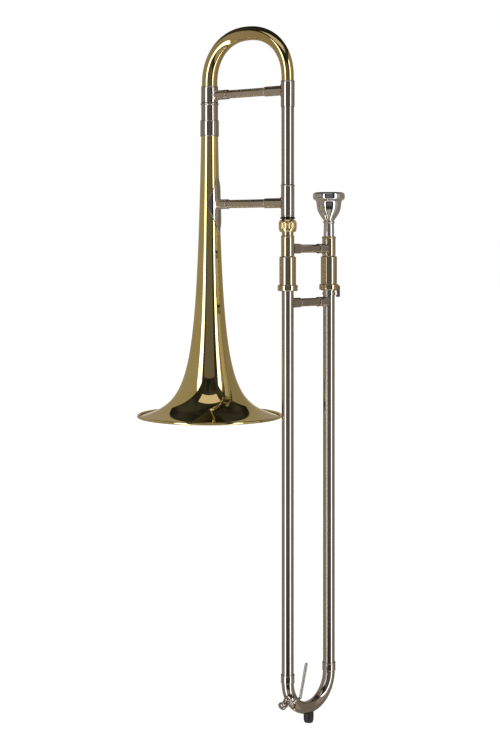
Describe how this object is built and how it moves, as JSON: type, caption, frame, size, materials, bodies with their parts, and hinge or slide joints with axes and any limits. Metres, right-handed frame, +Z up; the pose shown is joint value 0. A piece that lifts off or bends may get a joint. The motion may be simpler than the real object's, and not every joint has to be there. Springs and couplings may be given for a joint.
{
  "type": "alto trombone",
  "caption": "Alto trombone: a flared bell section with a tuning slide, and a playing slide with a lock, a water key and a cup mouthpiece.",
  "frame": {"origin": "centre of the bell's mouth, in the plane of its rim", "axes": "+Z up the bell's axis to the tuning bow, +X from the bell's axis to the neck tube's axis"},
  "size_m": [0.2347, 0.1808, 0.8337],
  "materials": {
    "yellow_brass": "polished and lacquered",
    "gold_brass": "polished",
    "nickel_silver": "polished nickel silver",
    "silver_plate": "silver plated",
    "steel": "plain",
    "spring_bronze": "drawn wire",
    "black_ring": "blackened",
    "cork": "natural cork",
    "rubber": "matte black"
  },
  "bodies": {
    "bell_section": {"bell_flare": "yellow_brass", "bell_rim_wire": "steel", "bell_stem": "yellow_brass", "bell_ferrule": "nickel_silver", "bell_tuning_tube": "nickel_silver", "bell_brace_saddle": "nickel_silver", "bell_brace_socket_stem": "nickel_silver", "bell_brace_socket_neck": "nickel_silver", "bell_brace_tube": "nickel_silver", "neck_tuning_tube": "nickel_silver", "neck_receiver": "nickel_silver", "receiver_stop_ring": "black_ring"},
    "tuning_slide": {"tuning_bow": "yellow_brass", "tuning_ferrule_bell": "nickel_silver", "tuning_ferrule_neck": "nickel_silver", "tuning_leg_bell": "nickel_silver", "tuning_leg_neck": "nickel_silver", "tuning_brace_socket_bell": "nickel_silver", "tuning_brace_socket_neck": "nickel_silver", "tuning_brace_tube": "nickel_silver"},
    "inner_slide": {"slide_tenon": "yellow_brass", "inner_tube_neck": "nickel_silver", "inner_tube_mouth": "nickel_silver", "cork_barrel_neck": "yellow_brass", "cork_barrel_mouth": "yellow_brass", "slide_cork_neck": "cork", "slide_cork_mouth": "cork", "mouthpiece_receiver": "yellow_brass", "leadpipe": "yellow_brass", "slide_brace_socket_neck": "nickel_silver", "slide_brace_socket_mouth": "nickel_silver", "slide_brace_tube": "nickel_silver"},
    "bell_nut": {"bell_nut": "gold_brass"},
    "slide_lock": {"slide_lock": "gold_brass"},
    "hand_slide": {"outer_tube_neck": "nickel_silver", "outer_tube_mouth": "nickel_silver", "lock_stud": "nickel_silver", "hand_brace_socket_neck": "nickel_silver", "hand_brace_socket_mouth": "nickel_silver", "hand_brace_tube": "nickel_silver", "slide_ferrule_neck": "nickel_silver", "slide_ferrule_mouth": "nickel_silver", "slide_bow": "nickel_silver", "bumper_post": "steel", "rubber_bumper": "rubber", "water_nipple": "nickel_silver", "water_key_mount": "nickel_silver", "water_key_screw": "steel", "water_key_spring": "spring_bronze"},
    "water_key": {"water_key_lever": "nickel_silver", "water_key_cork": "cork"},
    "mouthpiece": {"mouthpiece": "silver_plate"}
  },
  "joints": [
    {"name": "tuning_slide_pull", "type": "slide", "parent": "bell_section", "child": "tuning_slide", "axis": [0, 0, 1], "range_m": [0, 0.025]},
    {"name": "slide_swivel", "type": "hinge", "parent": "bell_section", "child": "inner_slide", "pos_m": [0.115, 0, 0.25], "axis": [0, 0, 1], "range_deg": [-81, 25]},
    {"name": "bell_nut_turn", "type": "hinge", "parent": "inner_slide", "child": "bell_nut", "pos_m": [0.115, 0, 0.2327], "axis": [0, 0, 1], "continuous": true},
    {"name": "hand_slide_travel", "type": "slide", "parent": "inner_slide", "child": "hand_slide", "axis": [0, 0, -1], "range_m": [0, 0.385]},
    {"name": "slide_lock_turn", "type": "hinge", "parent": "inner_slide", "child": "slide_lock", "pos_m": [0.1265, 0.0726, 0.16], "axis": [0, 0, 1], "range_deg": [0, 35]},
    {"name": "water_key_press", "type": "hinge", "parent": "hand_slide", "child": "water_key", "pos_m": [0.12437, -0.00479, -0.32768], "axis": [-0.0758, -0.4788, 0.8746], "range_deg": [0, 15], "stiffness_Nm_per_rad": 0.06, "springref_deg": -20.05},
    {"name": "mouthpiece_pull", "type": "slide", "parent": "inner_slide", "child": "mouthpiece", "axis": [0, 0, 1], "range_m": [0, 0.04]}
  ]
}
